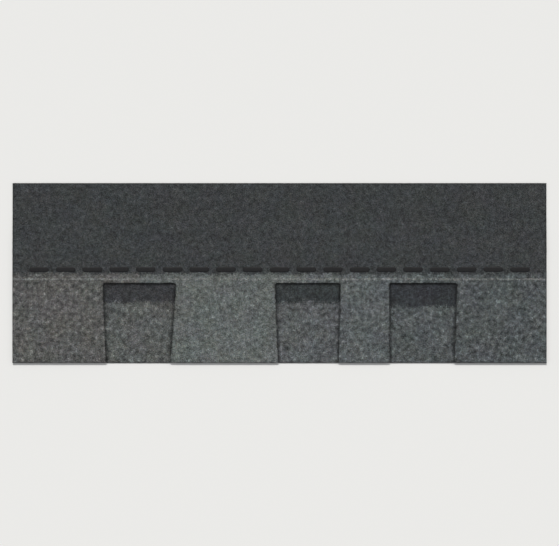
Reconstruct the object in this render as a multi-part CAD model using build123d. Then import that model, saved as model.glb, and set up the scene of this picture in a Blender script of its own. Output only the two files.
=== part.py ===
from build123d import *
import math
import os

# One laminated asphalt shingle, granule face up, as it lies unheld on a level floor.
# A full-height tooth sheet, with wide flared teeth cut out of its lower edge, is stuck by beads of
# asphalt to a plain backer strip that shows between the teeth. The tooth sheet is limp, so past the
# backer strip it sags to the floor. Above the teeth its face has a row of sealant dashes, and its
# back has a release film, which keeps the dashes of the shingle below from sticking in the bundle.
#
# Frame: millimetres, +X along the shingle, +Y from the butt edge up the slope, +Z up. The origin is
# on the floor under the middle of the shingle's outline. Until place() moves it there, each piece
# is drawn with x from the shingle's left end and y from its butt edge.

# Whole shingle, in the common metric size
shingle_length = 1000.0
shingle_height = 337.0
exposure = 143.0            # what the next course leaves in view

# Sheet stock: mat, asphalt and granules
sheet_thickness = 2.6

# Teeth and the cut-outs between them, along the upper end of the cut-outs
cutout_rise = 6.0           # the cut-outs run this far up under the next course
first_tooth_width = 170.0
cutout_widths = (136.0, 122.0, 126.0)
inner_tooth_widths = (186.0, 92.0)
# How far each tooth widens down to the butt edge, on its right and on its left
right_flares = (6.0, 6.0, 0.6)
left_flares = (10.4, 4.0, 5.0)
root_corner_radius = 3.5
tip_corner_radius = 1.5

# Backer strip
common_bond = 16.0          # the backer's overlap above the cut-outs, where nails go through both
backer_height = exposure + cutout_rise + common_bond

# Laminating adhesive between the two sheets
adhesive_thickness = 0.4
adhesive_bead_width = 11.0
adhesive_end_margin = 7.0   # from a bead's end to the side of its tooth
tooth_bead_heights = (16.0, 62.0, 108.0)

# Sealant dashes on the face
seal_gap = 5.0              # from the backer's upper edge to the dashes
seal_width = 10.0
seal_height = 0.8
seal_edge_radius = 0.5
seal_dash_length = 38.0
seal_dash_space = 12.0

# Release film on the back
film_gap = 3.0              # from the backer's upper edge to the film
film_width = 25.0
film_thickness = 0.1

# Sag of the tooth sheet from the backer's level down to the floor
level_margin = 2.0          # the sheet stays level this far past the film and the dashes
floor_strip = 42.0          # what lies flat on the floor along the upper edge

# Worked out from the sizes above
cutout_depth = exposure + cutout_rise
underside_level = sheet_thickness + adhesive_thickness
face_level = underside_level + sheet_thickness
film_low = backer_height + film_gap
seal_low = backer_height + seal_gap
sag_start = max(film_low + film_width, seal_low + seal_width) + level_margin
sag_end = shingle_height - floor_strip

same_place = 0.01           # two corners nearer than this are at one place


def place(shape):
    """Moves a shape from the drawing corner to the shingle's own origin."""
    return Pos(-shingle_length / 2, -shingle_height / 2, 0) * shape


def cutout_sides():
    """Each cut-out's left and right x at its upper end, with the flare of the tooth beside it."""
    sides = []
    x = first_tooth_width
    tooth_widths = (*inner_tooth_widths, 0.0)
    for cut, tooth, right_flare, left_flare in zip(
        cutout_widths, tooth_widths, right_flares, left_flares
    ):
        sides.append((x, x + cut, right_flare, left_flare))
        x += cut + tooth
    return sides


def tooth_edges_at(height):
    """(left, right) x of every tooth at a height above the butt edge."""
    share = 1 - height / cutout_depth
    edges = [0.0]
    for left, right, right_flare, left_flare in cutout_sides():
        edges.append(left + right_flare * share)
        edges.append(right - left_flare * share)
    edges.append(shingle_length)
    return list(zip(edges[0::2], edges[1::2]))


def cutout_plan(left, right, right_flare, left_flare):
    """One cut-out, narrower at the butt edge, where the teeth beside it flare."""
    corners = [
        (left, cutout_depth),
        (left + right_flare, 0),
        (right - left_flare, 0),
        (right, cutout_depth),
    ]
    return make_face(Polyline(*corners, close=True))


def sheet_plan():
    """The tooth sheet's outline: a blank less its cut-outs, with their corners rounded."""
    plan = Pos(shingle_length / 2, shingle_height / 2) * Rectangle(shingle_length, shingle_height)
    for sides in cutout_sides():
        plan -= cutout_plan(*sides)

    def cutout_corners(y):
        corners = plan.vertices().filter_by_position(Axis.Y, y - same_place, y + same_place)
        return corners.filter_by_position(Axis.X, same_place, shingle_length - same_place)

    plan = fillet(cutout_corners(cutout_depth), root_corner_radius)
    return fillet(cutout_corners(0), tip_corner_radius)


def sheet_section():
    """The tooth sheet's section across the slope: level, two equal arcs down, then on the floor."""
    run = sag_end - sag_start
    radius = (run**2 + underside_level**2) / (4 * underside_level)
    turn = math.degrees(2 * math.atan2(underside_level, run))
    level = Line((0, underside_level), (sag_start, underside_level))
    over = JernArc(level @ 1, level % 1, radius, -turn)
    under = JernArc(over @ 1, over % 1, radius, turn)
    landed = Line(under @ 1, (shingle_height, 0))
    underside = Wire([*level.edges(), *over.edges(), *under.edges(), *landed.edges()])
    outline = offset(underside, amount=sheet_thickness, side=Side.LEFT, closed=True)
    return make_face(outline.edges())


def tooth_sheet():
    """The upper sheet: its section drawn along the shingle, cut to its outline."""
    sheet = extrude(Plane.YZ * sheet_section(), shingle_length)
    die = extrude(sheet_plan(), face_level)
    return sheet & die


def backer_strip():
    """The lower sheet: a plain strip as long as the shingle, flush with the tips of the teeth."""
    plan = Pos(shingle_length / 2, backer_height / 2) * Rectangle(shingle_length, backer_height)
    return extrude(plan, sheet_thickness)


def bead(left, right, height):
    """One flattened bead of laminating adhesive, lying on the backer strip."""
    centre = Pos((left + right) / 2, height, sheet_thickness)
    return extrude(centre * SlotOverall(right - left, adhesive_bead_width), adhesive_thickness)


def laminating_adhesive():
    """Short beads under each tooth, and one along the common bond above the cut-outs."""
    beads = [
        bead(left + adhesive_end_margin, right - adhesive_end_margin, height)
        for height in tooth_bead_heights
        for left, right in tooth_edges_at(height)
    ]
    bond_centre = cutout_depth + common_bond / 2
    beads.append(
        bead(adhesive_end_margin, shingle_length - adhesive_end_margin, bond_centre)
    )
    return Compound(children=beads)


def sealant_dashes():
    """A row of raised sealant dashes along the face, centred on the shingle's length."""
    pitch = seal_dash_length + seal_dash_space
    count = int((shingle_length - seal_dash_space) // pitch)
    dash = extrude(SlotOverall(seal_dash_length, seal_width), seal_height)
    dash = fillet(dash.faces().sort_by(Axis.Z)[-1].edges(), seal_edge_radius)
    first = (shingle_length - (count - 1) * pitch) / 2
    middle = seal_low + seal_width / 2
    return Compound(
        children=[Pos(first + i * pitch, middle, face_level) * dash for i in range(count)]
    )


def release_film():
    """The film strip on the tooth sheet's back, just above the backer strip."""
    middle = film_low + film_width / 2
    strip = Pos(shingle_length / 2, middle, underside_level) * Rectangle(shingle_length, film_width)
    return extrude(strip, -film_thickness)


os.makedirs("parts", exist_ok=True)
export_step(place(tooth_sheet()), "parts/tooth_sheet.step")
export_step(place(backer_strip()), "parts/backer_strip.step")
export_step(place(laminating_adhesive()), "parts/laminating_adhesive.step")
export_step(place(sealant_dashes()), "parts/sealant_dashes.step")
export_step(place(release_film()), "parts/release_film.step")
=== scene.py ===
import math

import bpy
import numpy as np
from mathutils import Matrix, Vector
from mathutils.geometry import delaunay_2d_cdt
from mathutils.kdtree import KDTree


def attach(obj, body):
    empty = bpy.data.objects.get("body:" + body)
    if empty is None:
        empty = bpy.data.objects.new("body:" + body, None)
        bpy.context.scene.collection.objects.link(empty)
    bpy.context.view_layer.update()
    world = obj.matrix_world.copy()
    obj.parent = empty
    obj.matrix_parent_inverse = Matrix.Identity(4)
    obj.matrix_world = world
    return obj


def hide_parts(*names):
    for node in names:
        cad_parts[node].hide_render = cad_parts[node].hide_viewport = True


# Looks for one laminated asphalt shingle, granule face up on a pale floor, seen from straight above.
#
# Sizes are in millimetres and become metres where a mesh is made. Places come from the frame: the
# outlines, levels and beads are read from the loaded nodes. x runs along the shingle from its
# middle, and y up the slope. A height, such as blend_top, is counted up the slope from the butt edge.

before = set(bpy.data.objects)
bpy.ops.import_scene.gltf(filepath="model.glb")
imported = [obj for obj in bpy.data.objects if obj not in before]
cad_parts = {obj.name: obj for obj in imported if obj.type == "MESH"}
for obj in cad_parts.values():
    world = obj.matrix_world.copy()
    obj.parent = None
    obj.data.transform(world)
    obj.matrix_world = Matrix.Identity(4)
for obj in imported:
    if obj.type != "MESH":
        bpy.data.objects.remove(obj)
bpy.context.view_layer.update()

MM = 0.001

# Mineral granules
granule_size = 1.45         # across a large granule
fine_size = 0.8             # across a small one
fine_share = 0.4            # of the face that small granules cover
facet_slope = 0.9           # how steeply the broken faces of the granules tilt
shoulder_width = 0.3        # over which a granule rises from its border
shoulder_rise = 0.22
gap_widths = (0.06, 0.3)    # of the dark gaps between granules, narrowest and widest
gap_light = 0.25            # lightness in a gap, as a share of the mean
cluster_size = 7.2          # across a patch where light or dark granules gather
drift_size = 42.0           # across a patch where the hue drifts

# Relief of a granule layer, and the asphalt it is pressed into
granule_relief = 0.62       # from the pits between granules to the usual tops
granule_layer = 0.78        # usual granule tops above the asphalt
granule_bed = 0.15          # how deep the layer is pressed into the asphalt
top_share = 0.6             # of the mesh points that are granule tops; the rest lie between granules
top_levels = (0.62, 1.0)    # of the tops, as shares of the relief
pit_levels = (0.0, 0.45)
proud_share = 0.04          # of the mesh points that stand above the usual tops
proud_granules = 0.18       # by up to this much
relief_swell = (0.08, 24.0) # broad swells: a share of the relief, and their size

# Cut edges
rim_bare = 0.55             # asphalt left bare along a cut edge, at least
rim_bite = 1.5              # and how much more where granules have broken off
bite_length = 3.2
bite_spread = 0.2           # above 0, more than half of the edge is bitten
rim_level = 0.55            # share of their height that granules have along the rim
edge_inset = 0.12           # a cut edge's asphalt lies at least this far inside the outline
edge_ragged = 0.3           # how far it is torn in beyond that, at most
tear_shares = (0.3, 0.3, 0.4)   # of that: all along the edge, in swells, and from point to point
tear_length = 5.0           # of the swells
edge_drop = 0.12            # how much lower the asphalt's face lies along the edge, at most
edge_stones = 0.26          # share of a cut edge where a granule shows
edge_stone_size = 0.75
mat_line = (0.46, 0.52, 0.57, 0.63)     # up from the back: the glass mat begins, is whole, thins, ends

# Spacing of mesh points in plan
tooth_pitch = 1.2
headlap_pitch = 1.5
hidden_pitch = 6.0
edge_pitch = 1.15
rim_clearance = 0.5         # inner points keep this share of a pitch away from a rim
cover_clearance = 0.7       # and coarse points this share away from fine ones

# How far the backer's fine mesh runs on where the upper sheet hides it
under_teeth = 9.0
above_cutouts = 8.0
under_tips = 5.0

# Beads of asphalt
bead_end_points = 9         # round each end
bead_pitch = 2.5            # between the points along the sides
bead_swell_step = 4         # points from one knot of a bead's uneven side to the next
bead_least = 0.05           # half the width of the narrowest ring
# Sections, ring by ring: how far in each lies, and its share of the height
squashed_section = [(0.5, 0.0), (0.12, 0.18), (0.0, 0.5), (0.12, 0.82), (0.5, 1.0)]
domed_section = [(0.3, 0.0), (0.0, 0.2), (0.25, 0.52), (0.8, 0.78), (1.7, 0.93), (3.0, 1.0)]

# Granule blends, up the slope from the butt edge
blend_top = 166.0           # the coloured blend gives way to headlap granules here
nail_line_height = 157.0
nail_line_width = 3.2
nail_line_swell = (0.5, 60.0)       # how far the line strays, and over what length
band_lows = (113.0, 113.0, 106.0)   # lower edge of the dark band in each cut-out
# Ragged borders between blends: how far they swell, over what length, and how far granules stray
tooth_border = (2.5, 7.0, 1.2)
headlap_border = (3.0, 9.0, 2.2)
band_border = (3.2, 8.0, 2.4)

# Mean colours over each tab, as 8-bit sRGB
tooth_colours = ((89, 89, 88), (96, 100, 99), (89, 93, 94), (81, 85, 86))
cutout_colours = ((88, 90, 89), (87, 90, 91), (82, 86, 87))
band_colours = ((60, 61, 63), (58, 62, 63), (56, 58, 61))
headlap_colour = (62, 64, 65)
nail_line_colour = (114, 116, 115)
nail_line_cover = 0.62      # share of the line's granules that took the paint

# How a granule layer renders: what it returns of its mean colour, and the gloss on top of that
layer_return = 0.535
layer_gloss = 0.0108
least_return = 0.004        # a colour near the gloss is held at least this far above it

# Painted shade and asphalt stain along a cut edge: how strong, and over how many mm
shade_and_stain_beside = (0.64, 4.4)  # on the backer, beside a tooth
shade_and_stain_within = (0.5, 2.0)   # on a layer's own edge
shade_and_stain_swing = (0.3, 0.35)   # how far strength and reach vary along the edge, as shares
shade_and_stain_patch = 11.0          # across a stretch where the painted shade and stain are stronger or weaker

# Release film
film_points = (420, 12)     # of its mesh, along and across
film_ripple = 0.16          # how far it hangs down where it is puckered
film_fade = 0.12            # share of its width over which the puckers fade to each edge
pucker_size = 6.0
pucker_stretch = (0.35, 1.6)    # of places along and across, which makes puckers long and narrow
broad_pucker = (0.4, 14.0)  # broad swells among them: a share, and their size

# Stage
floor_colour = (236, 236, 234)
floor_drop = 0.05           # the floor lies this far under the part, clear of its flat back
fill_strength = 0.42        # share of the light that comes from all round
fill_tint = (0.97, 0.98, 1.0)
key_tint = (1.0, 0.985, 0.965)
key_elevation = 48.0
key_softness = 9.0
key_turn = 8.0
lens_length = 135.0
width_share = 0.955         # of the picture's width that the shingle takes


def linear(colour):
    """An 8-bit sRGB colour as linear values from 0 to 1."""
    share = np.asarray(colour, float) / 255
    return np.where(share <= 0.04045, share / 12.92, ((share + 0.055) / 1.055) ** 2.4)


def tones(colours):
    """The mean colours that make granule layers render as the given 8-bit sRGB colours."""
    return np.clip(linear(colours) - layer_gloss, least_return, None) / layer_return


# Reading the frame


def welded_node(name):
    """A CAD node's points in mm and its faces, with the points at one place joined into one."""
    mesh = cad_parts[name].data
    points = np.zeros(len(mesh.vertices) * 3, np.float32)
    mesh.vertices.foreach_get("co", points)
    points = points.reshape(-1, 3).astype(float) / MM
    unique, at = np.unique(points.round(3), axis=0, return_inverse=True)
    at = at.ravel()
    return unique, [tuple(int(at[i]) for i in face.vertices) for face in mesh.polygons]


def facing(points, faces, sign):
    """The faces that look up, or down where sign is -1."""
    found = []
    for face in faces:
        a, b, c = points[list(face[:3])]
        normal = np.cross(b - a, c - a)
        if sign * normal[2] > 0.5 * np.linalg.norm(normal):
            found.append(face)
    return found


def rim_loops(faces):
    """The closed loops of edges that only one of the faces uses, in the faces' own direction."""
    edges = {(a, b) for face in faces for a, b in zip(face, (*face[1:], face[0]))}
    after = {a: b for a, b in edges if (b, a) not in edges}
    loops = []
    while after:
        start = min(after)
        loop = [start]
        at = after.pop(start)
        while at != start:
            loop.append(at)
            at = after.pop(at)
        loops.append(loop)
    return loops


def node_plan(name):
    """A node's outline from above, anticlockwise, and its face and underside as z by y profiles."""
    points, faces = welded_node(name)
    upper = facing(points, faces, 1)
    loop = max(rim_loops(upper), key=len)
    profiles = []
    for side in (upper, facing(points, faces, -1)):
        used = points[sorted({i for face in side for i in face})]
        y, first = np.unique(used[:, 1], return_index=True)
        profiles.append((y, used[first, 2]))
    return points[loop][:, :2], profiles[0], profiles[1]


def islands(name):
    """The low and high corners of each separate solid of a node, from the butt edge up."""
    points, faces = welded_node(name)
    group = list(range(len(points)))

    def head(i):
        while group[i] != i:
            group[i] = group[group[i]]
            i = group[i]
        return i

    for face in faces:
        for other in face[1:]:
            group[head(face[0])] = head(other)
    heads = np.array([head(i) for i in range(len(points))])
    boxes = [(points[heads == h].min(0), points[heads == h].max(0)) for h in np.unique(heads)]
    return sorted(boxes, key=lambda box: (round(box[0][1], 1), box[0][0]))


sheet_loop, sheet_face, sheet_back = node_plan("tooth_sheet")
backer_loop, backer_face, backer_back = node_plan("backer_strip")
low_corner = sheet_loop.min(0)
high_corner = sheet_loop.max(0)
butt_y = low_corner[1]
backer_top = backer_loop[:, 1].max() - butt_y


def crossings(height):
    """x of each place where the sheet's outline crosses a height."""
    y = butt_y + height
    found = []
    for a, b in zip(sheet_loop, np.roll(sheet_loop, -1, axis=0)):
        if (a[1] - y) * (b[1] - y) < 0:
            found.append(a[0] + (b[0] - a[0]) * (y - a[1]) / (b[1] - a[1]))
    return np.sort(found)


tooth_sides = crossings(backer_top / 3)
tooth_middles = (tooth_sides[::2] + tooth_sides[1::2]) / 2
cutout_middles = (tooth_sides[1:-1:2] + tooth_sides[2::2]) / 2
in_cutouts = (sheet_loop[:, 0] > tooth_sides[1]) & (sheet_loop[:, 0] < tooth_sides[-2])
cutout_top = sheet_loop[in_cutouts & (sheet_loop[:, 1] < butt_y + backer_top)][:, 1].max() - butt_y


# Noise and points in plan


def wander(xy, size, seed):
    """Smooth noise from -1 to 1 at points in plan, with swells about `size` mm across."""
    cells = (xy - low_corner) / size + 1
    corner = np.floor(cells).astype(int)
    t = cells - corner
    t = t * t * (3 - 2 * t)
    shape = np.ceil((high_corner - low_corner) / size).astype(int) + 4
    grid = np.random.default_rng(seed).uniform(-1, 1, shape)
    i, j = np.clip(corner, 0, shape - 2).T
    near = grid[i, j] * (1 - t[:, 0]) + grid[i + 1, j] * t[:, 0]
    far = grid[i, j + 1] * (1 - t[:, 0]) + grid[i + 1, j + 1] * t[:, 0]
    return near * (1 - t[:, 1]) + far * t[:, 1]


def smooth_step(value, low, high):
    """0 below low, 1 above high, and smooth between."""
    t = np.clip((value - low) / (high - low), 0, 1)
    return t * t * (3 - 2 * t)


def lattice(low, high, pitch, seed, jitter=0.3):
    """Points over a rectangle, on a triangular lattice shaken by jitter."""
    rng = np.random.default_rng(seed)
    row_gap = pitch * math.sqrt(3) / 2
    rows = int((high[1] - low[1]) / row_gap) + 1
    columns = int((high[0] - low[0]) / pitch) + 1
    row, column = np.divmod(np.arange(rows * columns), columns)
    x = low[0] + (column + 0.5 * (row % 2)) * pitch
    y = low[1] + row * row_gap
    return np.stack([x, y], 1) + rng.uniform(-jitter, jitter, (len(x), 2)) * pitch


def spread(loop, pitch):
    """Evenly spaced points along a closed loop, with its corners kept."""
    found = []
    for a, b in zip(loop, np.roll(loop, -1, axis=0)):
        parts = max(1, round(np.linalg.norm(b - a) / pitch))
        found.append(a + (b - a) * (np.arange(parts) / parts)[:, None])
    return np.concatenate(found)


def inward(loop):
    """Unit normals that point into an anticlockwise loop, one for each point."""
    along = np.roll(loop, -1, axis=0) - np.roll(loop, 1, axis=0)
    normal = np.stack([-along[:, 1], along[:, 0]], 1)
    return normal / np.linalg.norm(normal, axis=1, keepdims=True)


def distances(points, targets):
    """From each point to the nearest target, in plan."""
    tree = KDTree(len(targets))
    for i, (x, y) in enumerate(targets.tolist()):
        tree.insert((x, y, 0), i)
    tree.balance()
    return np.array([tree.find((x, y, 0))[2] for x, y in points.tolist()])


def triangulated(points, rim):
    """Anticlockwise triangles over the points inside the loops, each a list of their numbers."""
    only_inside = 1
    merged_within = 1e-7
    places = [Vector(p) for p in points.tolist()]
    faces, sources = delaunay_2d_cdt(places, [], rim, only_inside, merged_within)[2:4]
    triangles = np.array([source[0] for source in sources])[np.array(faces)]
    a, b, c = points[triangles].transpose(1, 0, 2)
    clockwise = np.cross(b - a, c - a) < 0
    triangles[clockwise] = triangles[clockwise][:, ::-1]
    return triangles


# Making meshes


class BakeLayout:
    """Bake coordinates for a flat piece: its main side in two strips, and its other side small."""

    half = (high_corner[0] - low_corner[0]) / 2
    gap = 8.0               # between the strips
    wall_gap = 0.05         # between a rim and its wall laid out flat
    small = 0.25            # scale of the other side

    def __init__(self, low, high, main_back=False):
        self.low = low
        self.row = high[1] - low[1] + self.gap
        self.main_back = main_back
        tall = 2 * self.row > self.half
        self.corner = (self.half + self.gap, 0) if tall else (0, 2 * self.row)
        width = self.half + self.gap + (self.half * self.small + self.gap if tall else 0)
        height = 2 * self.row + (0 if tall else 2 * self.row * self.small)
        self.side = max(width, height) + self.gap

    def uv(self, corners, middles, back):
        """Bake coordinates of face corners, from each one's place in plan and its face's middle."""
        second = middles[:, 0] > 0
        x = corners[:, 0] - np.where(second, 0, self.low[0])
        y = corners[:, 1] - self.low[1] + np.where(second, self.row, 0)
        places = np.stack([x, y], 1)
        small = (back != self.main_back)[:, None]
        places = np.where(small, places * self.small + self.corner, places)
        return (places + self.gap) / self.side


class Gathered:
    """Points and triangles of one mesh, gathered part by part.

    Each triangle also gets its corners' places in plan, with the walls laid out flat, from which
    its bake coordinates are made.
    """

    def __init__(self):
        self.points = []
        self.faces = []
        self.places = []
        self.point_count = 0

    def add_points(self, plan, z):
        """Adds points and returns their numbers."""
        self.points.append(np.column_stack([plan, z]))
        first = self.point_count
        self.point_count += len(plan)
        return np.arange(first, self.point_count)

    def add_faces(self, corners, places):
        self.faces.append(corners)
        self.places.append(places)

    def add_band(self, above, below, above_places, below_places):
        """Joins two loops of as many points, one below the other, with two triangles a step."""
        next_above = np.roll(above, -1)
        next_below = np.roll(below, -1)
        places = (above_places, below_places, np.roll(above_places, -1, axis=0),
                  np.roll(below_places, -1, axis=0))
        numbers = (above, below, next_above, next_below)
        for corners in ((0, 1, 3), (0, 3, 2)):
            self.add_faces(
                np.stack([numbers[i] for i in corners], 1),
                np.stack([places[i] for i in corners], 1),
            )


def add_wall(sheet, loop, rim, top, bottom, rings, rng):
    """Adds a wall below a rim, ring by ring. Returns its last ring, and the numbers of its points.

    Each ring is (how far it lies inside the rim, its share of the way down, its roughness in mm).
    """
    normal = inward(rim)
    above = loop
    above_places = rim
    for inset, share, noise in rings:
        depth = inset + noise * np.abs(rng.normal(0, 1, len(rim)))
        ring = rim + normal * depth[:, None]
        uneven = 0 if share == 1 else noise * rng.normal(0, 0.5, len(rim))
        z = top + (bottom - top) * share + uneven
        below = sheet.add_points(ring, z)
        below_places = rim - normal * (top - z + BakeLayout.wall_gap)[:, None]
        sheet.add_band(above, below, above_places, below_places)
        above = below
        above_places = below_places
    return ring, above


def add_underside(sheet, walls, low, high, back_level, pitch, seed):
    """Adds a plain underside between the last rings of the walls."""
    rim = np.concatenate([ring for ring, _ in walls])
    inner = lattice(low, high, pitch, seed)
    inner = inner[distances(inner, rim) > rim_clearance * pitch]
    plan = np.concatenate([rim, inner])
    ends = np.cumsum([0] + [len(ring) for ring, _ in walls])
    triangles = triangulated(plan, [list(range(a, b)) for a, b in zip(ends, ends[1:])])[:, ::-1]
    inner_numbers = sheet.add_points(inner, back_level(inner))
    numbers = np.concatenate([*(number for _, number in walls), inner_numbers])
    sheet.add_faces(numbers[triangles], plan[triangles])


def closed_sheet(plan, top, triangles, back_level, rings, back_pitch, seed):
    """A closed flat solid: its top triangles, a wall round their rim, and a plain underside.

    Returns the points, the faces, each face corner's place in plan, and whether each face is on
    the back.
    """
    rng = np.random.default_rng(seed)
    used, at = np.unique(triangles, return_inverse=True)
    triangles = at.reshape(-1, 3)
    plan = plan[used]
    top = top[used]
    sheet = Gathered()
    sheet.add_points(plan, top)
    sheet.add_faces(triangles, plan[triangles])
    walls = []
    for loop in rim_loops([tuple(face) for face in triangles.tolist()]):
        rim = plan[loop]
        walls.append(add_wall(sheet, np.array(loop), rim, top[loop], back_level(rim), rings, rng))
    front_count = sum(len(faces) for faces in sheet.faces)
    add_underside(sheet, walls, plan.min(0), plan.max(0), back_level, back_pitch, seed + 1)
    faces = np.concatenate(sheet.faces)
    kept, at = np.unique(faces, return_inverse=True)
    is_back = np.arange(len(faces)) >= front_count
    points = np.concatenate(sheet.points)[kept]
    return points, at.reshape(-1, 3), np.concatenate(sheet.places), is_back


def add_piece(name, points, faces, materials, nodes=()):
    """A mesh object from points in mm, riding on the frame's one body."""
    mesh = bpy.data.meshes.new(name)
    mesh.from_pydata((points * MM).tolist(), [], [list(f) for f in faces])
    for material in materials:
        mesh.materials.append(material)
    made = bpy.data.objects.new(name, mesh)
    bpy.context.scene.collection.objects.link(made)
    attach(made, "root")
    if nodes:
        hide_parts(*nodes)
    return made


def set_bake_map(made, layout, flat, is_back):
    """Writes the piece's bake coordinates from its corners' places in plan."""
    corners = flat.reshape(-1, 2)
    middles = np.repeat(flat.mean(1), 3, axis=0)
    places = layout.uv(corners, middles, np.repeat(is_back, 3))
    layer = made.data.uv_layers.new(name="OFBake")
    layer.data.foreach_set("uv", places.astype(np.float32).ravel())


def set_attribute(made, label, values):
    """Stores one number or one colour for each point, for the materials."""
    if values.ndim == 2:
        values = np.column_stack([values, np.ones(len(values))])
        attribute = made.data.attributes.new(label, "FLOAT_COLOR", "POINT")
        attribute.data.foreach_set("color", values.astype(np.float32).ravel())
    else:
        attribute = made.data.attributes.new(label, "FLOAT", "POINT")
        attribute.data.foreach_set("value", values.astype(np.float32).ravel())


# Materials


class Shader:
    """A material's nodes, made one call at a time."""

    def __init__(self, name):
        self.material = bpy.data.materials.new(name)
        self.material.use_nodes = True
        self.tree = self.material.node_tree
        self.surface = self.tree.nodes["Principled BSDF"]
        place = self.node("TexCoord").outputs["Object"]
        self.place = self.node("VectorMath", {0: place, "Scale": 1 / MM}, operation="SCALE").outputs[0]

    def node(self, kind, inputs=None, **settings):
        made = self.tree.nodes.new("ShaderNode" + kind)
        for key, value in settings.items():
            setattr(made, key, value)
        for key, value in (inputs or {}).items():
            self.feed(made.inputs[key], value)
        return made

    def feed(self, socket, value):
        if isinstance(value, bpy.types.NodeSocket):
            self.tree.links.new(value, socket)
        else:
            socket.default_value = value

    def finish(self, **inputs):
        for key, value in inputs.items():
            self.feed(self.surface.inputs[key.replace("_", " ")], value)
        return self.material

    def math(self, operation, a, b):
        return self.node("Math", {0: a, 1: b}, operation=operation).outputs[0]

    def scaled(self, value, factor, plus=0.0, clamp=False):
        """A number times a factor, plus another number."""
        inputs = {0: value, 1: factor, 2: plus}
        return self.node("Math", inputs, operation="MULTIPLY_ADD", use_clamp=clamp).outputs[0]

    def span(self, value, low, high, to_low=0.0, to_high=1.0):
        """value from low to high as to_low to to_high, smooth and held at both ends."""
        inputs = {"Value": value, "From Min": low, "From Max": high, "To Min": to_low, "To Max": to_high}
        return self.node("MapRange", inputs, interpolation_type="SMOOTHSTEP").outputs[0]

    def noise(self, size, detail=1.0, offset=0.0, stretch=(1, 1, 1)):
        """Noise from 0 to 1 with swells about `size` mm across."""
        moved = self.node("Mapping", {"Vector": self.place, "Location": (offset,) * 3, "Scale": stretch})
        inputs = {"Vector": moved.outputs[0], "Scale": 1 / size, "Detail": detail}
        return self.node("TexNoise", inputs).outputs["Fac"]

    def vector(self, operation, a, b, c=(0, 0, 0)):
        return self.node("VectorMath", {0: a, 1: b, 2: c}, operation=operation).outputs

    def warped(self, size, reach):
        """The places moved to and fro by up to about `reach` mm, with swells `size` mm across."""
        inputs = {"Vector": self.place, "Scale": 1 / size, "Detail": 1.0}
        noise = self.node("TexNoise", inputs).outputs["Color"]
        moved = self.vector("SUBTRACT", noise, (0.5, 0.5, 0.5))[0]
        return self.vector("MULTIPLY_ADD", moved, (2 * reach,) * 3, self.place)[0]

    def cells(self, size, place):
        """Cells about `size` mm across: each one's random colour, the way from its middle to a
        place in it, and the distance from there to its border in mm."""
        inputs = {"Vector": place, "Scale": 1 / size}
        near = self.node("TexVoronoi", inputs)
        border = self.node("TexVoronoi", inputs, feature="DISTANCE_TO_EDGE").outputs["Distance"]
        within = self.vector("SUBTRACT", place, near.outputs["Position"])[0]
        return near.outputs["Color"], within, self.scaled(border, size)

    def channels(self, colour):
        return self.node("SeparateColor", {0: colour}).outputs

    def curve(self, value, stops):
        """A number read off straight lines between (at, value) stops, from 0 to 1 along."""
        top = max(v for _, v in stops)
        return self.scaled(self.ramp(value, [(at, (v / top,) * 3) for at, v in stops]), top)

    def ramp(self, value, stops, stepped=False):
        """A colour read off (at, linear colour) stops."""
        made = self.node("ValToRGB", {0: value})
        made.color_ramp.interpolation = "CONSTANT" if stepped else "LINEAR"
        elements = made.color_ramp.elements
        while len(elements) < len(stops):
            elements.new(0.5)
        for element, (at, colour) in zip(elements, stops):
            element.position = at
            element.color = (*colour, 1)
        return made.outputs[0]

    def times(self, colour, factor):
        """A colour times a number or another colour."""
        return self.node("VectorMath", {0: colour, 1: factor}, operation="MULTIPLY").outputs[0]

    def blend(self, share, a, b):
        """Colour a, or b where share is 1."""
        inputs = {"Factor": share, 6: a, 7: b}
        return self.node("Mix", inputs, data_type="RGBA").outputs[2]

    def attribute(self, label, output="Fac"):
        return self.node("Attribute", attribute_name=label).outputs[output]

    def bump(self, height, depth, strength=1.0):
        """A normal from a height of 0 to 1 over `depth` mm."""
        inputs = {"Height": height, "Distance": depth * MM, "Strength": strength}
        return self.node("Bump", inputs).outputs[0]


# Lightness of granules from the darkest to the lightest, as shares of the mean
granule_lightness = [(0, 0.22), (0.15, 0.46), (0.35, 0.78), (0.6, 1.05), (0.85, 1.5), (1, 2.4)]

# How far granules differ, by the mean of their blend: the darkest and the palest are the most even
granule_variety = [(0.06, 0.78), (0.13, 1.14), (0.22, 0.82)]

# Tints of the granules' coating, from 0 to 1 of all granules: warm, blue, green, violet and none
granule_tints = [
    (0.0, (1.06, 1.0, 0.93)),
    (0.22, (0.97, 1.0, 1.05)),
    (0.45, (0.95, 1.04, 0.99)),
    (0.68, (1.03, 0.99, 1.04)),
    (0.86, (1.0, 1.0, 1.0)),
]
brightest_tint = 1.1        # a ramp's colours end at 1, so the tints are divided by this first

# Drift of red, green and blue over a layer: an offset that keeps them apart, and how far each swings
channel_drift = [(11, 0.025), (47, 0.016), (83, 0.03)]


def granule_cells(s):
    """Large granules, with small ones between: what Shader.cells gives, for both together."""
    place = s.warped(0.9, 0.3)
    random, within, border = s.cells(granule_size, place)
    fine_random, fine_within, fine_border = s.cells(fine_size, place)
    is_fine = s.math("GREATER_THAN", s.channels(random)[2], 1 - fine_share)
    random = s.blend(is_fine, random, fine_random)
    within = s.blend(is_fine, within, fine_within)
    beyond = s.scaled(is_fine, -granule_size, granule_size)
    border = s.math("MINIMUM", border, s.math("ADD", fine_border, beyond))
    return random, within, border


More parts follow.
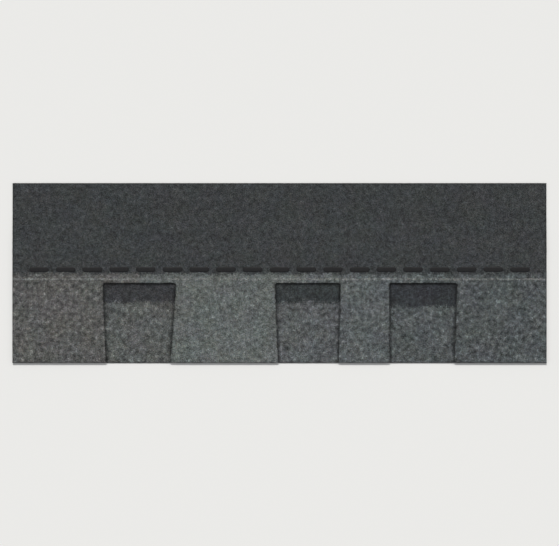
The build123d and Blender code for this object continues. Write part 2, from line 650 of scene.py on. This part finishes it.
def granule_colour(s, random, border, contrast, clusters):
    """The piece's mean colour as each granule, patch and gap changes it."""
    tone = s.attribute("tone", "Color")
    lightness, tint, _ = s.channels(random)[:3]
    variety = s.curve(s.channels(tone)[1], granule_variety)
    cluster = s.scaled(s.noise(cluster_size, 0.4), clusters, -0.5 * (clusters + contrast))
    pick = s.scaled(lightness, contrast, cluster)
    light = s.curve(s.scaled(pick, variety, 0.5, clamp=True), granule_lightness)
    tints = [(at, [v / brightest_tint for v in colour]) for at, colour in granule_tints]
    hue = s.times(s.ramp(tint, tints, stepped=True), (brightest_tint,) * 3)
    drift = [s.span(s.noise(drift_size, 2, offset), 0.3, 0.7, 1 - swing, 1 + swing)
             for offset, swing in channel_drift]
    drift = s.node("CombineColor", dict(enumerate(drift))).outputs[0]
    gap = s.span(s.noise(1.9, 1, 91), 0.35, 0.65, *gap_widths)
    seam = s.span(border, 0.0, gap, gap_light, 1.05)
    colour = tone
    for factor in (light, seam, hue, drift):
        colour = s.times(colour, factor)
    return colour


def granule_height(s, random, within, border):
    """Two broken facets that meet in a ridge on each granule, and fall away at its border."""
    tilt = s.vector("SUBTRACT", random, (0.5, 0.5, 0.5))[0]
    cross_tilt = s.vector("CROSS_PRODUCT", tilt, (0.4, 0.6, 0.8))[0]
    facet = s.vector("DOT_PRODUCT", within, tilt)[1]
    cross_facet = s.vector("DOT_PRODUCT", within, cross_tilt)[1]
    ridge = s.math("MAXIMUM", facet, cross_facet)
    height = s.scaled(ridge, -facet_slope, s.span(border, 0.0, shoulder_width, 0.0, shoulder_rise))
    return s.scaled(s.noise(0.35, 2), 0.08, height)


def granule_material(name, contrast, clusters):
    """Crushed, coated stone granules. Their mean colour comes from the piece's own "tone".

    contrast is how much the lightness differs between granules, and clusters between patches.
    """
    s = Shader(name)
    random, within, border = granule_cells(s)
    gloss = s.channels(random)[2]
    return s.finish(
        Base_Color=granule_colour(s, random, border, contrast, clusters),
        Roughness=s.span(gloss, 0, 1, 0.62, 0.95),
        Specular_IOR_Level=0.24,
        Normal=s.bump(granule_height(s, random, within, border), 1.0, 0.8),
    )


def asphalt_edge_material():
    """The cut edge and bare rim of a sheet: filled black asphalt over a paler glass mat."""
    s = Shader("asphalt_edge")
    colour = s.ramp(s.noise(1.3, 4, 17), [(0.35, (0.009, 0.009, 0.010)), (0.7, (0.028, 0.028, 0.029))])
    wobble = s.scaled(s.noise(1.8, 3, 5), 0.3, -0.15)
    depth = s.math("ADD", s.attribute("depth"), wobble)
    on_mat = s.scaled(s.span(depth, *mat_line[:2]), s.span(depth, *mat_line[2:], 1, 0))
    strand = s.span(s.noise(0.45, 2, 43, (1, 1, 2)), 0.42, 0.62)
    colour = s.blend(s.scaled(on_mat, strand), colour, (0.075, 0.072, 0.066, 1))
    random, _, border = s.cells(edge_stone_size, s.warped(0.7, 0.25))
    pick, shade, _ = s.channels(random)[:3]
    is_stone = s.math("GREATER_THAN", pick, 1 - edge_stones)
    stone = s.scaled(is_stone, s.span(border, 0.03, 0.12))
    stone_tone = s.ramp(shade, [(0, (0.03, 0.031, 0.031)), (1, (0.11, 0.112, 0.11))])
    colour = s.blend(stone, colour, stone_tone)
    relief = s.scaled(s.noise(0.5, 4, 9), 0.35, s.scaled(stone, 0.12))
    return s.finish(
        Base_Color=colour,
        Roughness=s.span(s.noise(1.6, 3, 3), 0.3, 0.7, 0.7, 0.95),
        Specular_IOR_Level=0.15,
        Normal=s.bump(relief, 1.0, 0.9),
    )


def back_dust_material():
    """The back of a sheet: black asphalt under a fine grey mineral dust, laid on in faint streaks."""
    s = Shader("back_dust")
    patch = s.span(s.noise(24, 5, 13), 0.3, 0.65, 0.8, 1)
    streak = s.span(s.noise(5, 3, 37, (0.05, 1, 1)), 0.3, 0.6, 0.82, 1)
    grain = s.span(s.noise(0.55, 2, 71), 0.34, 0.6)
    share = s.scaled(s.scaled(patch, streak), grain)
    dust = s.ramp(s.noise(60, 3, 29), [(0.3, (0.15, 0.145, 0.135)), (0.7, (0.185, 0.18, 0.17))])
    colour = s.blend(share, (0.022, 0.022, 0.023, 1), dust)
    return s.finish(
        Base_Color=colour,
        Roughness=s.span(share, 0, 1, 0.6, 0.96),
        Specular_IOR_Level=0.3,
        Normal=s.bump(s.noise(0.7, 4, 41), 0.2, 0.6),
    )


def asphalt_bead_material(name, rough_low, rough_high):
    """Hot-laid black asphalt, smooth where it flowed and dulled by a little dust."""
    s = Shader(name)
    dust = s.span(s.noise(1.4, 4, 19), 0.48, 0.7)
    colour = s.blend(s.scaled(dust, 0.35), (0.009, 0.009, 0.010, 1), (0.06, 0.059, 0.057, 1))
    wrinkle = s.scaled(s.noise(2.6, 3, 53), 0.3, s.scaled(s.noise(0.6, 2, 59), 0.07))
    return s.finish(
        Base_Color=colour,
        Roughness=s.span(s.math("ADD", dust, s.noise(5, 2, 23)), 0.3, 1.4, rough_low, rough_high),
        Specular_IOR_Level=0.22,
        Normal=s.bump(wrinkle, 1.0, 0.6),
    )


def film_material():
    """Thin milky release film, with streaks along the strip."""
    s = Shader("release_film_plastic")
    streak = s.noise(2.4, 3, 7, (0.08, 1, 1))
    colour = s.ramp(streak, [(0.3, (0.50, 0.50, 0.48)), (0.7, (0.66, 0.66, 0.64))])
    return s.finish(
        Base_Color=colour,
        Roughness=s.span(s.noise(9, 3, 61), 0.3, 0.7, 0.22, 0.42),
        Specular_IOR_Level=0.5,
        Normal=s.bump(s.noise(4, 3, 67, (0.35, 1, 1)), 0.2, 0.5),
    )


# Granule layers and sheets


def zone_of(x, middles):
    """The number of the zone that x lies in, where the zones change at the given middles."""
    return np.searchsorted(middles, x)


def shaded_and_stained(plan, distance, shade_and_stain, seed):
    """How much of its colour each point keeps at a distance from a cut edge, under painted shade and
    asphalt stain.
    """
    strength, reach = shade_and_stain
    strength_swing, reach_swing = shade_and_stain_swing
    strength = strength * (1 - strength_swing * wander(plan, shade_and_stain_patch, seed))
    reach = reach * (1 + reach_swing * wander(plan, shade_and_stain_patch, seed + 1))
    return 1 - strength * np.exp(-((distance / reach) ** 2))


def ragged(along, plan, border, seed, rng):
    """Each point's place along one axis, shifted so that a straight border turns out ragged."""
    swell, length, stray = border
    return along + swell * wander(plan, length, seed) + rng.normal(0, stray, len(plan))


def tooth_tone(plan):
    """Mean colour at each point of the upper sheet: a blend for each tooth, then the headlap."""
    rng = np.random.default_rng(31)
    height = plan[:, 1] - butt_y
    tooth = zone_of(ragged(plan[:, 0], plan, tooth_border, 32, rng), cutout_middles)
    on_headlap = ragged(height, plan, headlap_border, 33, rng) > blend_top
    tone = np.where(on_headlap[:, None], tones(headlap_colour), tones(tooth_colours)[tooth])
    stray, length = nail_line_swell
    off_line = np.abs(height - nail_line_height - stray * wander(plan, length, 34))
    painted = (off_line < nail_line_width / 2) & (rng.random(len(plan)) < nail_line_cover)
    return np.where(painted[:, None], tones(nail_line_colour), tone)


def backer_tone(plan, to_tooth):
    """Mean colour at each point of the backer: a blend for each cut-out under a dark band, with painted
    shade and asphalt stain beside the teeth.
    """
    rng = np.random.default_rng(41)
    height = plan[:, 1] - butt_y
    zone = zone_of(plan[:, 0], tooth_middles[1:-1])
    dark = ragged(height, plan, band_border, 42, rng) > np.array(band_lows)[zone]
    tone = np.where(dark[:, None], tones(band_colours)[zone], tones(cutout_colours)[zone])
    # Beside each tooth the backer's colour is darkened: painted shade from the tooth's step, with
    # asphalt stain.
    return tone * shaded_and_stained(plan, to_tooth, shade_and_stain_beside, 45)[:, None]


def granule_heights(plan, seed):
    """Heights of mesh points, from 0 in a pit to 1 at a usual top, and above 1 where proud."""
    rng = np.random.default_rng(seed)
    count = len(plan)
    high = rng.random(count) < top_share
    level = np.where(high, rng.uniform(*top_levels, count), rng.uniform(*pit_levels, count))
    proud = rng.random(count) < proud_share
    level = level + proud * rng.uniform(0, 1, count) * proud_granules / granule_relief
    swell, length = relief_swell
    return level + swell * wander(plan, length, seed + 1)


def granule_rim(loop, seed):
    """The edge of a granule layer: the sheet's outline, set in and bitten where granules are lost."""
    rng = np.random.default_rng(seed)
    points = spread(loop, edge_pitch)
    bite = np.clip(wander(points, bite_length, seed + 1) + bite_spread, 0, None) ** 2
    inset = rim_bare + rim_bite * bite * rng.uniform(0.5, 1, len(points))
    return points + inward(points) * inset[:, None]


# Rings of points down a cut edge: how far down, from 0 to 1, and how rough in mm. The glass mat,
# halfway down, is the smoothest.
cut_edge_rings = (
    (0.14, 0.08), (0.3, 0.12), (0.44, 0.05), (0.56, 0.05), (0.72, 0.12), (0.88, 0.12), (1.0, 0.05)
)
cut_edge_swell = 0.1        # how far the rings stand out from the rim


def sheet_body(name, loop, face, back, nodes, seed):
    """The mat and asphalt of a sheet, with its cut edge and its dusted back."""
    rng = np.random.default_rng(seed)
    points = spread(loop, edge_pitch)
    steady, swell, stray = tear_shares
    torn = steady + swell * wander(points, tear_length, seed + 3) + stray * rng.random(len(points))
    points = points + inward(points) * (edge_inset + edge_ragged * torn)[:, None]
    inner = lattice(points.min(0), points.max(0), hidden_pitch, seed + 1)
    inner = inner[distances(inner, points) > rim_clearance * hidden_pitch]
    plan = np.concatenate([points, inner])
    triangles = triangulated(plan, [list(range(len(points)))])
    top = np.interp(plan[:, 1], *face) - granule_layer
    top[: len(points)] -= rng.uniform(0, edge_drop, len(points))
    rings = [(-cut_edge_swell, share, noise) for share, noise in cut_edge_rings]

    def back_level(xy):
        return np.interp(xy[:, 1], *back)

    points, faces, flat, is_back = closed_sheet(
        plan, top, triangles, back_level, rings, hidden_pitch, seed + 2
    )
    made = add_piece(name, points, faces, [asphalt_edge, back_dust], nodes)
    made.data.polygons.foreach_set("material_index", is_back.astype(np.int32))
    face_z = np.interp(points[:, 1], *face) - granule_layer
    back_z = back_level(points[:, :2])
    set_attribute(made, "depth", (points[:, 2] - back_z) / (face_z - back_z))
    set_bake_map(made, BakeLayout(loop.min(0), loop.max(0), main_back=True), flat, is_back)
    return made


def granule_layer_piece(name, plan, top, triangles, outline, face, tone, material, nodes, seed):
    """One closed layer of granules over some of the triangles of a sheet's face."""

    def bed_level(xy):
        return np.interp(xy[:, 1], *face) - granule_layer - granule_bed

    rings = [(0.0, 1.0, 0.0)]
    points, faces, flat, is_back = closed_sheet(
        plan, top, triangles, bed_level, rings, hidden_pitch, seed
    )
    made = add_piece(name, points, faces, [material], nodes)
    plan = points[:, :2]
    # Towards the layer's own cut edge its colour is darkened: painted shade, with asphalt stain.
    kept = shaded_and_stained(plan, distances(plan, spread(outline, edge_pitch)), shade_and_stain_within, seed + 2)
    set_attribute(made, "tone", tone(plan) * kept[:, None])
    layout = BakeLayout(points[:, :2].min(0), points[:, :2].max(0))
    set_bake_map(made, layout, flat, is_back)
    return made


def upper_granules():
    """The coloured layer over the teeth and the plain layer over the headlap, edge to edge."""
    rim = granule_rim(sheet_loop, 51)
    split = butt_y + blend_top
    fine = lattice(low_corner, (high_corner[0], split), tooth_pitch, 52)
    plain = lattice((low_corner[0], split + tooth_pitch), high_corner, headlap_pitch, 53)
    inner = np.concatenate([fine, plain])
    inner = inner[distances(inner, rim) > rim_clearance * edge_pitch]
    plan = np.concatenate([rim, inner])
    triangles = triangulated(plan, [list(range(len(rim)))])
    level = granule_heights(plan, 54)
    level[: len(rim)] *= rim_level
    top = np.interp(plan[:, 1], *sheet_face) - granule_relief * (1 - level)
    is_headlap = plan[triangles][:, :, 1].mean(1) > split
    for name, kept, material, seed in (
        ("tooth_granules", ~is_headlap, coloured_granules, 55),
        ("headlap_granules", is_headlap, headlap_granules, 57),
    ):
        granule_layer_piece(
            name, plan, top, triangles[kept], sheet_loop, sheet_face, tooth_tone, material,
            ["tooth_sheet"], seed,
        )


def lower_granules():
    """The backer's layer, fine where the cut-outs and the butt edge show it."""
    rim = granule_rim(backer_loop, 61)
    outline = spread(sheet_loop, edge_pitch)
    cover = lattice(low_corner, backer_loop.max(0), tooth_pitch, 62)
    height = cover[:, 1] - butt_y
    in_cutout = np.zeros(len(cover), bool)
    for left, right in tooth_sides[1:-1].reshape(-1, 2):
        in_cutout |= (cover[:, 0] > left - under_teeth) & (cover[:, 0] < right + under_teeth)
    in_cutout &= height < cutout_top + above_cutouts
    cover = cover[in_cutout | (height < under_tips)]
    hidden = lattice(low_corner, backer_loop.max(0), hidden_pitch, 63)
    hidden = hidden[distances(hidden, cover) > cover_clearance * hidden_pitch]
    inner = np.concatenate([cover, hidden])
    inner = inner[distances(inner, rim) > rim_clearance * edge_pitch]
    plan = np.concatenate([rim, inner])
    triangles = triangulated(plan, [list(range(len(rim)))])
    level = granule_heights(plan, 64)
    level[: len(rim)] *= rim_level
    top = np.interp(plan[:, 1], *backer_face) - granule_relief * (1 - level)

    def tone(xy):
        return backer_tone(xy, distances(xy, outline))

    granule_layer_piece(
        "backer_granules", plan, top, triangles, backer_loop, backer_face, tone, coloured_granules,
        ["backer_strip"], 65,
    )


def bead_cap(count, first):
    """A flat end of a bead, as strips from side to side between the points of a ring."""
    tip = bead_end_points // 2
    faces = []
    for step in range(count // 2):
        across = (tip + step, tip + step + 1, tip - step - 1, tip - step)
        # The first and the last strip are triangles, so a corner that comes twice is named once
        corners = dict.fromkeys(i % count for i in across)
        faces.append(tuple(first + i for i in corners))
    return faces


def pillow(low, high, section, seed, wobble):
    """A closed bead on a stadium plan, as points and faces."""
    rng = np.random.default_rng(seed)
    radius = (high[1] - low[1]) / 2
    reach = (high[0] - low[0]) / 2 - radius
    middle = (low + high) / 2
    turn = np.linspace(-math.pi / 2, math.pi / 2, bead_end_points)
    run = np.linspace(-reach, reach, max(3, int(2 * reach / bead_pitch)))[1:-1]
    # Each row is x on the bead's middle line, and the x and y of the way out from there
    right = np.column_stack([reach + 0 * turn, np.cos(turn), np.sin(turn)])
    upper = np.column_stack([run[::-1], 0 * run, 1 + 0 * run])
    spine = np.concatenate([right, upper, -right, upper * (-1, 0, -1)])
    knots = np.arange(0, len(spine) + bead_swell_step, bead_swell_step)
    swell = np.interp(np.arange(len(spine)), knots, rng.uniform(-1, 1, len(knots)))
    swell = 1 - wobble * (0.5 + 0.5 * swell)
    points = []
    for inset, level in section:
        reach_out = np.clip(radius * swell - inset, bead_least, None)
        x = spine[:, 0] + spine[:, 1] * reach_out
        y = spine[:, 2] * reach_out
        z = low[2] + (high[2] - low[2]) * level + 0 * x
        points.append(np.column_stack([middle[0] + x, middle[1] + y, z]))
    count = len(spine)
    last = (len(section) - 1) * count
    faces = [face[::-1] for face in bead_cap(count, 0)]
    for ring in range(0, last, count):
        for i in range(count):
            j = (i + 1) % count
            faces.append((ring + i, ring + j, ring + count + j, ring + count + i))
    faces += bead_cap(count, last)
    return np.concatenate(points), faces


def beads(name, node, section, material, seed, wobble):
    """All the beads of a node, remade as soft pillows in one piece."""
    points, faces, count = [], [], 0
    for i, (low, high) in enumerate(islands(node)):
        more, more_faces = pillow(low, high, section, seed + i, wobble)
        points.append(more)
        faces += [tuple(v + count for v in face) for face in more_faces]
        count += len(more)
    made = add_piece(name, np.concatenate(points), faces, [material], [node])
    made.data.shade_smooth()
    return made


def release_strip():
    """The film on the back, puckered a little where it has lifted."""
    low, high = islands("release_film")[0]
    columns, rows = film_points
    u, v = np.meshgrid(np.linspace(0, 1, columns), np.linspace(0, 1, rows))
    plan = np.column_stack([
        (low[0] + (high[0] - low[0]) * u).ravel(),
        (low[1] + (high[1] - low[1]) * v).ravel(),
    ])
    pucker = wander(plan * pucker_stretch, pucker_size, 71)
    share, size = broad_pucker
    pucker = np.clip(pucker + share * wander(plan, size, 72), 0, 1)
    fade = smooth_step(np.minimum(v, 1 - v).ravel(), 0, film_fade)
    drop = film_ripple * pucker * fade
    upper = np.column_stack([plan, high[2] - drop])
    lower = np.column_stack([plan, low[2] - drop])
    grid = np.arange(rows * columns).reshape(rows, columns)
    quads = np.stack([grid[:-1, :-1], grid[:-1, 1:], grid[1:, 1:], grid[1:, :-1]], -1).reshape(-1, 4)
    rim = np.concatenate([grid[0], grid[1:, -1], grid[-1, -2::-1], grid[-2:0:-1, 0]])
    after = np.roll(rim, -1)
    below = rows * columns
    wall = np.stack([rim, rim + below, after + below, after], 1)
    faces = np.concatenate([quads, quads[:, ::-1] + below, wall])
    made = add_piece(
        "release_strip", np.concatenate([upper, lower]), faces, [film_plastic], ["release_film"]
    )
    made.data.shade_smooth()
    return made


# The stage


def floor_and_world():
    """A pale floor, and a pale world behind it that gives soft fill light."""
    floor_size = 60000.0
    half = floor_size / 2 * MM
    level = -floor_drop * MM
    mesh = bpy.data.meshes.new("floor")
    corners = [(-half, -half, level), (half, -half, level), (half, half, level), (-half, half, level)]
    mesh.from_pydata(corners, [], [(0, 1, 2, 3)])
    floor = bpy.data.objects.new("floor", mesh)
    bpy.context.scene.collection.objects.link(floor)
    s = Shader("pale_floor")
    paint = (*linear(floor_colour), 1)
    mesh.materials.append(s.finish(Base_Color=paint, Roughness=1.0, Specular_IOR_Level=0.0))
    world = bpy.data.worlds.new("studio")
    bpy.context.scene.world = world
    world.use_nodes = True
    nodes = world.node_tree.nodes
    links = world.node_tree.links
    path = nodes.new("ShaderNodeLightPath")
    colour = nodes.new("ShaderNodeMix")
    colour.data_type = "RGBA"
    colour.inputs[6].default_value = (*(fill_strength * np.array(fill_tint)), 1)
    colour.inputs[7].default_value = paint
    links.new(path.outputs["Is Camera Ray"], colour.inputs["Factor"])
    links.new(colour.outputs[2], nodes["Background"].inputs["Color"])


def key_light():
    """One soft sun from beyond the headlap, so that the butt edge throws a narrow shadow."""
    light = bpy.data.lights.new("key", "SUN")
    light.angle = math.radians(key_softness)
    light.energy = math.pi * (1 - fill_strength) / math.sin(math.radians(key_elevation))
    light.color = key_tint
    key = bpy.data.objects.new("key", light)
    key.rotation_euler = (math.radians(key_elevation - 90), 0, math.radians(key_turn))
    bpy.context.scene.collection.objects.link(key)


def camera_above():
    """A long lens straight above, with the whole shingle across the picture."""
    lens = bpy.data.cameras.new("camera")
    lens.lens = lens_length
    camera = bpy.data.objects.new("camera", lens)
    length = (high_corner[0] - low_corner[0]) * MM
    distance = length / width_share * lens.lens / lens.sensor_width
    camera.location = (0, 0, distance)
    bpy.context.scene.collection.objects.link(camera)
    bpy.context.scene.camera = camera


bpy.context.scene.view_settings.view_transform = "Standard"
camera_above()
key_light()
floor_and_world()

coloured_granules = granule_material("coloured_granules", contrast=0.46, clusters=1.2)
headlap_granules = granule_material("plain_granules", contrast=0.6, clusters=0.9)
asphalt_edge = asphalt_edge_material()
back_dust = back_dust_material()
laminating_asphalt = asphalt_bead_material("laminating_asphalt", rough_low=0.35, rough_high=0.7)
sealant_asphalt = asphalt_bead_material("sealant_asphalt", rough_low=0.5, rough_high=0.85)
film_plastic = film_material()

sheet_body("tooth_sheet_body", sheet_loop, sheet_face, sheet_back, ["tooth_sheet"], 11)
sheet_body("backer_body", backer_loop, backer_face, backer_back, ["backer_strip"], 21)
upper_granules()
lower_granules()
beads("laminating_beads", "laminating_adhesive", squashed_section, laminating_asphalt, 81, wobble=0.3)
beads("sealant_beads", "sealant_dashes", domed_section, sealant_asphalt, 101, wobble=0.16)
release_strip()
